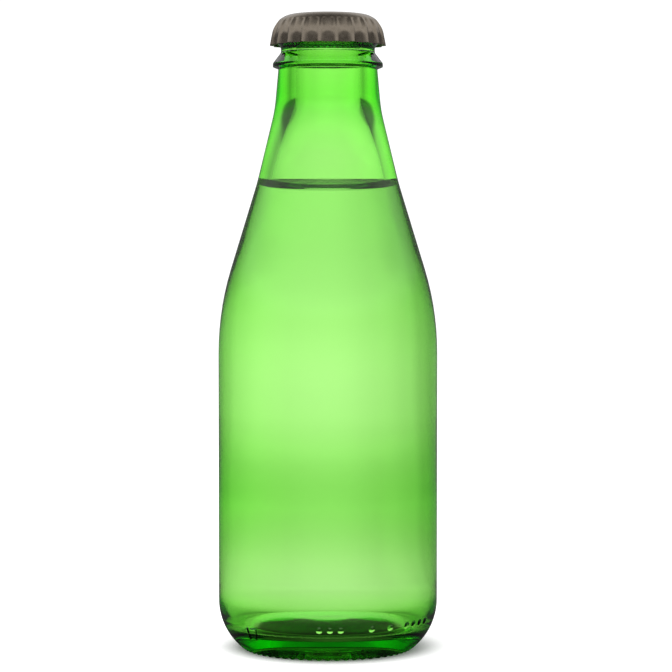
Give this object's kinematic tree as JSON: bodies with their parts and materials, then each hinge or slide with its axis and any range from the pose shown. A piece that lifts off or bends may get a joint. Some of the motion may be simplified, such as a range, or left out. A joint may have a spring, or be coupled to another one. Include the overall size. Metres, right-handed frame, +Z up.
{
  "type": "glass drink bottle",
  "caption": "Small green glass bottle with a rounded heel and a tapering neck, holding a clear drink and closed by a crimped metal crown cap with a soft sealing liner.",
  "frame": {"origin": "on the surface that the bottle stands on, under its own axis", "axes": "+Z up along the bottle's axis, -Y the front that the picture shows, +X to the right of that view"},
  "size_m": [0.054, 0.054, 0.1564],
  "materials": {
    "green_glass": "gloss",
    "clear_liquid": "gloss",
    "tinplate": "satin",
    "liner_compound": "satin"
  },
  "bodies": {
    "bottle": {"glass_bottle": "green_glass", "clear_drink": "clear_liquid"},
    "closure": {"crown_cap": "tinplate", "cap_liner": "liner_compound"}
  },
  "joints": [
    {"name": "cap_lift", "type": "slide", "parent": "bottle", "child": "closure", "axis": [0, 0, 1], "range_m": [0, 0.03]}
  ]
}
